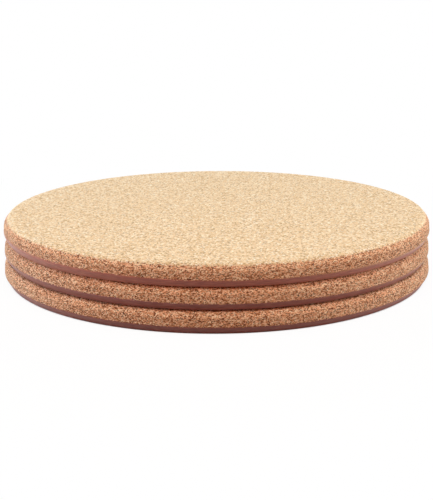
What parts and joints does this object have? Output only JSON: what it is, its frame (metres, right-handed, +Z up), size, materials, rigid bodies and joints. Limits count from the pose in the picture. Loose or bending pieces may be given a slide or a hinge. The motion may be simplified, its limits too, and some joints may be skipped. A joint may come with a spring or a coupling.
{
  "type": "trivet",
  "caption": "Stack of round pressed-cork trivets, edges bevelled above and below; each lifts off the one below to keep a hot pot off the table.",
  "frame": {"origin": "centre of the underside of the bottom trivet, where the stack lies on the table", "axes": "+Z up, the common axis of the discs; X and Y are any two directions along the table"},
  "size_m": [0.19, 0.19, 0.027],
  "materials": {
    "cork": "agglomerated cork, faces sanded pale, edge bevelled, lower bevel burnished darker, unsealed and matt"
  },
  "bodies": {
    "bottom": {"bottom_trivet": "cork"},
    "middle": {"middle_trivet": "cork"},
    "top": {"top_trivet": "cork"}
  },
  "joints": [
    {"name": "middle_lift", "type": "slide", "parent": "bottom", "child": "middle", "axis": [0, 0, 1], "range_m": [0, 0.04]},
    {"name": "top_lift", "type": "slide", "parent": "middle", "child": "top", "axis": [0, 0, 1], "range_m": [0, 0.04]}
  ]
}
